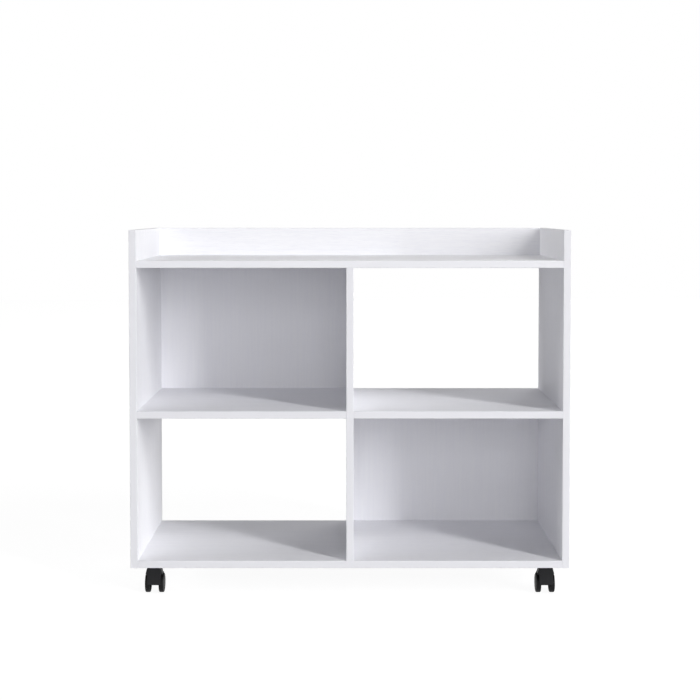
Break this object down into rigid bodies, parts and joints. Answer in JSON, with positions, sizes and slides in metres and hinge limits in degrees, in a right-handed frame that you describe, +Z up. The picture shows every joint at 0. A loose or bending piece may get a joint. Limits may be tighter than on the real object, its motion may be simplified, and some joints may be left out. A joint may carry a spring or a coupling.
{
  "type": "mobile bookcase",
  "caption": "Low white open bookcase on black swivel casters: a grid of bays, some with a back and some open right through, under a tray top with raised sides and a rear rail.",
  "frame": {"origin": "on the floor below the middle of the bookcase's bounding box", "axes": "+Z up, +X to the right as seen from the front, -Y towards the front"},
  "size_m": [0.9, 0.4038, 0.755],
  "materials": {
    "white_board": "satin white melamine on particleboard",
    "white_back_sheet": "smooth white lacquered hardboard",
    "beech": "raw turned beech",
    "zinc_steel": "zinc plated",
    "black_plastic": "moulded black nylon"
  },
  "bodies": {
    "case": {"left_side": "white_board", "right_side": "white_board", "bottom_board": "white_board", "top_board": "white_board", "centre_divider": "white_board", "left_shelf": "white_board", "right_shelf": "white_board", "gallery_rail": "white_board", "upper_back_sheet": "white_back_sheet", "lower_back_sheet": "white_back_sheet", "cam_discs": "zinc_steel", "cam_bolts": "zinc_steel", "double_cam_bolts": "zinc_steel", "rail_screws": "zinc_steel", "back_sheet_nails": "zinc_steel", "caster_screws": "zinc_steel", "wood_dowels": "beech", "long_dowels": "beech", "front_left_caster_plate": "zinc_steel", "front_left_caster_stem": "zinc_steel", "front_right_caster_plate": "zinc_steel", "front_right_caster_stem": "zinc_steel", "rear_left_caster_plate": "zinc_steel", "rear_left_caster_stem": "zinc_steel", "rear_right_caster_plate": "zinc_steel", "rear_right_caster_stem": "zinc_steel"},
    "front_left_swivel": {"front_left_caster_hood": "black_plastic", "front_left_caster_axle": "zinc_steel"},
    "front_left_left_wheel": {"front_left_caster_left_wheel": "black_plastic"},
    "front_left_right_wheel": {"front_left_caster_right_wheel": "black_plastic"},
    "front_right_swivel": {"front_right_caster_hood": "black_plastic", "front_right_caster_axle": "zinc_steel"},
    "front_right_left_wheel": {"front_right_caster_left_wheel": "black_plastic"},
    "front_right_right_wheel": {"front_right_caster_right_wheel": "black_plastic"},
    "rear_left_swivel": {"rear_left_caster_hood": "black_plastic", "rear_left_caster_axle": "zinc_steel"},
    "rear_left_left_wheel": {"rear_left_caster_left_wheel": "black_plastic"},
    "rear_left_right_wheel": {"rear_left_caster_right_wheel": "black_plastic"},
    "rear_right_swivel": {"rear_right_caster_hood": "black_plastic", "rear_right_caster_axle": "zinc_steel"},
    "rear_right_left_wheel": {"rear_right_caster_left_wheel": "black_plastic"},
    "rear_right_right_wheel": {"rear_right_caster_right_wheel": "black_plastic"}
  },
  "joints": [
    {"name": "front_left_swivel_turn", "type": "hinge", "parent": "case", "child": "front_left_swivel", "pos_m": [-0.406, -0.1659, 0.031], "axis": [0, 0, 1], "continuous": true},
    {"name": "front_left_left_wheel_roll", "type": "hinge", "parent": "front_left_swivel", "child": "front_left_left_wheel", "pos_m": [-0.406, -0.1519, 0.02], "axis": [1, 0, 0], "continuous": true},
    {"name": "front_left_right_wheel_roll", "type": "hinge", "parent": "front_left_swivel", "child": "front_left_right_wheel", "pos_m": [-0.406, -0.1519, 0.02], "axis": [1, 0, 0], "continuous": true},
    {"name": "front_right_swivel_turn", "type": "hinge", "parent": "case", "child": "front_right_swivel", "pos_m": [0.406, -0.1659, 0.031], "axis": [0, 0, 1], "continuous": true},
    {"name": "front_right_left_wheel_roll", "type": "hinge", "parent": "front_right_swivel", "child": "front_right_left_wheel", "pos_m": [0.406, -0.1519, 0.02], "axis": [1, 0, 0], "continuous": true},
    {"name": "front_right_right_wheel_roll", "type": "hinge", "parent": "front_right_swivel", "child": "front_right_right_wheel", "pos_m": [0.406, -0.1519, 0.02], "axis": [1, 0, 0], "continuous": true},
    {"name": "rear_left_swivel_turn", "type": "hinge", "parent": "case", "child": "rear_left_swivel", "pos_m": [-0.406, 0.1621, 0.031], "axis": [0, 0, 1], "continuous": true},
    {"name": "rear_left_left_wheel_roll", "type": "hinge", "parent": "rear_left_swivel", "child": "rear_left_left_wheel", "pos_m": [-0.406, 0.1761, 0.02], "axis": [1, 0, 0], "continuous": true},
    {"name": "rear_left_right_wheel_roll", "type": "hinge", "parent": "rear_left_swivel", "child": "rear_left_right_wheel", "pos_m": [-0.406, 0.1761, 0.02], "axis": [1, 0, 0], "continuous": true},
    {"name": "rear_right_swivel_turn", "type": "hinge", "parent": "case", "child": "rear_right_swivel", "pos_m": [0.406, 0.1621, 0.031], "axis": [0, 0, 1], "continuous": true},
    {"name": "rear_right_left_wheel_roll", "type": "hinge", "parent": "rear_right_swivel", "child": "rear_right_left_wheel", "pos_m": [0.406, 0.1761, 0.02], "axis": [1, 0, 0], "continuous": true},
    {"name": "rear_right_right_wheel_roll", "type": "hinge", "parent": "rear_right_swivel", "child": "rear_right_right_wheel", "pos_m": [0.406, 0.1761, 0.02], "axis": [1, 0, 0], "continuous": true}
  ]
}
